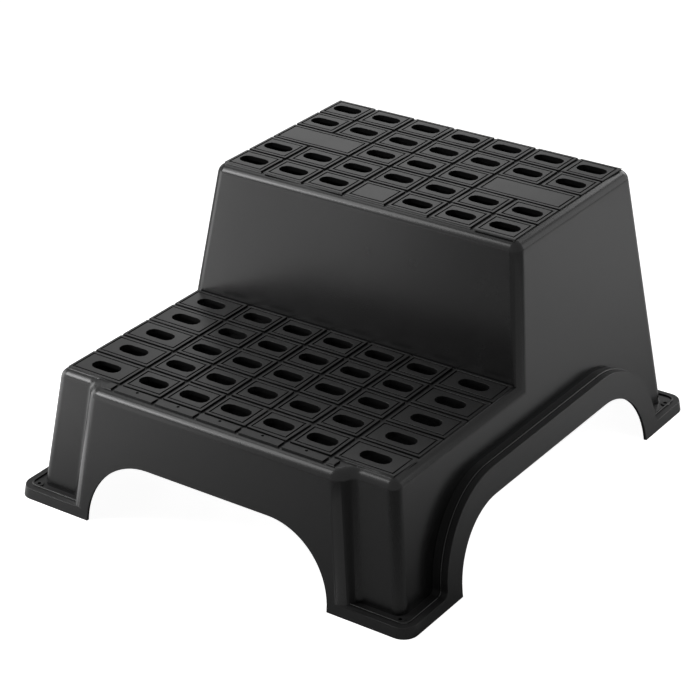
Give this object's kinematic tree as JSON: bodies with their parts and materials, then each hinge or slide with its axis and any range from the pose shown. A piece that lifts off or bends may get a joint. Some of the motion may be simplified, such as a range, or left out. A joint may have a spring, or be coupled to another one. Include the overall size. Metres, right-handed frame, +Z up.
{
  "type": "caravan entry step",
  "caption": "Moulded double step for a caravan door: two slotted, tiled treads over a hollow flared base with arched openings on every side and a drilled foot flange.",
  "frame": {"origin": "on the ground, under the middle of the foot flange", "axes": "+Z up, front of the step towards -Y, +X to the right as seen from the front"},
  "size_m": [0.593, 0.668, 0.35],
  "materials": {
    "moulding": "fine moulded grain, dark charcoal"
  },
  "bodies": {
    "root": {"step_moulding": "moulding"}
  },
  "joints": []
}
